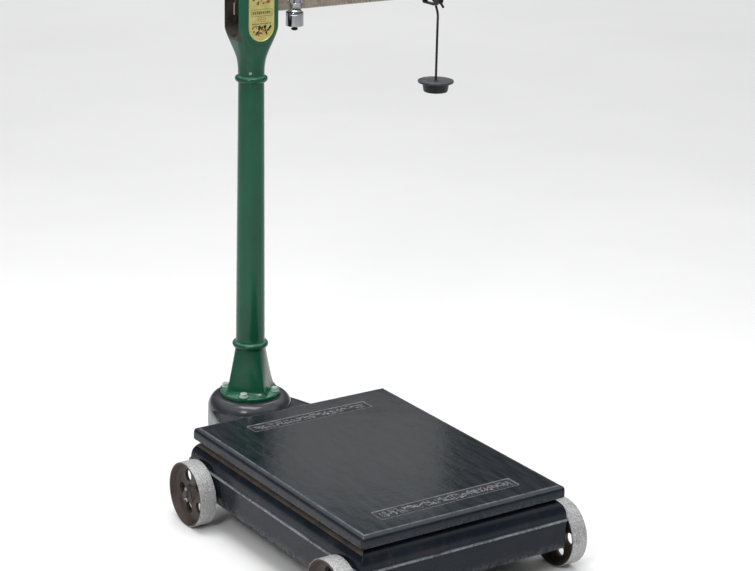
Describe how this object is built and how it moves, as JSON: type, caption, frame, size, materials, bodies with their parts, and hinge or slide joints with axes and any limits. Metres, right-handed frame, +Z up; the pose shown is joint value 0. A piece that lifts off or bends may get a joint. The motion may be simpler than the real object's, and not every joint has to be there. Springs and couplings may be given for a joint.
{
  "type": "beam platform scale",
  "caption": "Portable cast-iron beam platform scale: wheeled base with compound levers, flat platform, green column, sliding-poise beam, stirrup and weight hanger.",
  "frame": {"origin": "middle of the platform's flat top face; the floor is 233 mm below it", "axes": "+Z up; +Y from the platform to the column; +X along the beam, away from the column"},
  "size_m": [0.9773, 1.122, 1.321],
  "materials": {
    "black_gloss_iron": "gloss blue-black paint over rough cast iron",
    "slate_gloss_iron": "gloss slate paint with fine streaks, worn at the edges",
    "green_gloss_paint": "deep green gloss enamel over cast iron",
    "painted_bolt_steel": "pale green worn paint over zinc",
    "rusty_cast_iron": "dark rusty iron with a bright speckled tread",
    "lever_iron": "rough cast iron, lightly rusted",
    "plain_steel": "machined steel",
    "black_steel": "black satin paint on steel",
    "chrome_plate": "polished chrome plate",
    "aged_brass": "tarnished brass with brown blotches",
    "gold_plate": "printed yellow-gold plate with a raised rim"
  },
  "bodies": {
    "frame": {"base_frame": "black_gloss_iron", "bearing_blocks": "plain_steel", "bearing_screws": "plain_steel", "axle_pins": "plain_steel", "axle_washers": "plain_steel", "split_pins": "plain_steel", "column": "green_gloss_paint", "column_bolts": "painted_bolt_steel", "column_washers": "painted_bolt_steel", "head": "green_gloss_paint", "head_set_screw": "plain_steel", "name_plate": "gold_plate", "fulcrum_bearings": "plain_steel", "guard_arm": "green_gloss_paint", "guard_loop": "black_steel", "guard_screws": "plain_steel"},
    "wheel_front_left_body": {"wheel_front_left": "rusty_cast_iron"},
    "wheel_front_right_body": {"wheel_front_right": "rusty_cast_iron"},
    "wheel_rear_left_body": {"wheel_rear_left": "rusty_cast_iron"},
    "wheel_rear_right_body": {"wheel_rear_right": "rusty_cast_iron"},
    "platform_body": {"platform": "slate_gloss_iron", "platform_bearings": "plain_steel", "bearing_shoe_pins": "plain_steel"},
    "long_lever_body": {"long_lever": "lever_iron", "long_fulcrum_knives": "plain_steel", "long_load_knives": "plain_steel", "long_link_knife": "plain_steel", "long_power_knife": "plain_steel"},
    "short_lever_body": {"short_lever": "lever_iron", "short_fulcrum_knives": "plain_steel", "short_load_knives": "plain_steel", "short_power_knife": "plain_steel"},
    "link_body": {"lever_link": "plain_steel"},
    "pull_rod_body": {"pull_rod": "plain_steel", "lower_shackle": "plain_steel", "upper_shackle": "plain_steel", "pull_rod_nuts": "plain_steel"},
    "beam_body": {"beam": "aged_brass", "beam_fulcrum_knife": "plain_steel", "beam_load_knife": "plain_steel", "beam_power_knife": "plain_steel", "balance_screw": "plain_steel", "beam_stop_pins": "plain_steel"},
    "balance_ball_body": {"balance_ball": "chrome_plate", "ball_lock_screw": "plain_steel"},
    "poise_body_group": {"poise_body": "chrome_plate", "poise_saddle": "chrome_plate", "poise_screws": "plain_steel", "poise_plug": "black_steel"},
    "stirrup_body": {"end_stirrup": "black_steel"},
    "hanger_body": {"hanger_rod": "black_steel", "hanger_dish": "black_steel", "hanger_nut": "plain_steel"}
  },
  "joints": [
    {"name": "wheel_front_left_spin", "type": "hinge", "parent": "frame", "child": "wheel_front_left_body", "pos_m": [-0.3245, -0.328, -0.15], "axis": [1, 0, 0], "continuous": true},
    {"name": "wheel_front_right_spin", "type": "hinge", "parent": "frame", "child": "wheel_front_right_body", "pos_m": [0.3245, -0.328, -0.15], "axis": [1, 0, 0], "continuous": true},
    {"name": "wheel_rear_left_spin", "type": "hinge", "parent": "frame", "child": "wheel_rear_left_body", "pos_m": [-0.3245, 0.328, -0.15], "axis": [1, 0, 0], "continuous": true},
    {"name": "wheel_rear_right_spin", "type": "hinge", "parent": "frame", "child": "wheel_rear_right_body", "pos_m": [0.3245, 0.328, -0.15], "axis": [1, 0, 0], "continuous": true},
    {"name": "beam_rock", "type": "hinge", "parent": "frame", "child": "beam_body", "pos_m": [0.0385, 0.598, 1.008], "axis": [0, 1, 0], "range_deg": [-1.8, 1.8]},
    {"name": "pull_rod_travel", "type": "slide", "parent": "frame", "child": "pull_rod_body", "axis": [0, 0, 1], "range_m": [-0.00125, 0.00125]},
    {"name": "long_lever_rock", "type": "hinge", "parent": "frame", "child": "long_lever_body", "pos_m": [0, -0.302, -0.095], "axis": [1, 0, 0], "range_deg": [-0.08, 0.08]},
    {"name": "short_lever_rock", "type": "hinge", "parent": "frame", "child": "short_lever_body", "pos_m": [0, 0.302, -0.095], "axis": [1, 0, 0], "range_deg": [-0.08, 0.08]},
    {"name": "link_travel", "type": "slide", "parent": "frame", "child": "link_body", "axis": [0, 0, 1], "range_m": [-0.00042, 0.00042]},
    {"name": "platform_travel", "type": "slide", "parent": "frame", "child": "platform_body", "axis": [0, 0, 1], "range_m": [-0.00018, 0.00018]},
    {"name": "balance_ball_travel", "type": "slide", "parent": "beam_body", "child": "balance_ball_body", "axis": [1, 0, 0], "range_m": [-0.0175, 0.0175]},
    {"name": "poise_travel", "type": "slide", "parent": "beam_body", "child": "poise_body_group", "axis": [1, 0, 0], "range_m": [0, 0.38]},
    {"name": "stirrup_swing", "type": "hinge", "parent": "beam_body", "child": "stirrup_body", "pos_m": [0.5775, 0.598, 1.008], "axis": [0, 1, 0], "range_deg": [-7, 7]},
    {"name": "hanger_swing", "type": "hinge", "parent": "stirrup_body", "child": "hanger_body", "pos_m": [0.5775, 0.598, 0.978], "axis": [0, 1, 0], "range_deg": [-15, 15]}
  ],
  "couplings": [
    {"joint": "pull_rod_travel", "follows": "beam_rock", "m_per_rad": 0.0385},
    {"joint": "long_lever_rock", "follows": "beam_rock", "ratio": 0.042778},
    {"joint": "short_lever_rock", "follows": "beam_rock", "ratio": -0.042778},
    {"joint": "link_travel", "follows": "beam_rock", "m_per_rad": 0.012919},
    {"joint": "platform_travel", "follows": "beam_rock", "m_per_rad": 0.00539}
  ]
}
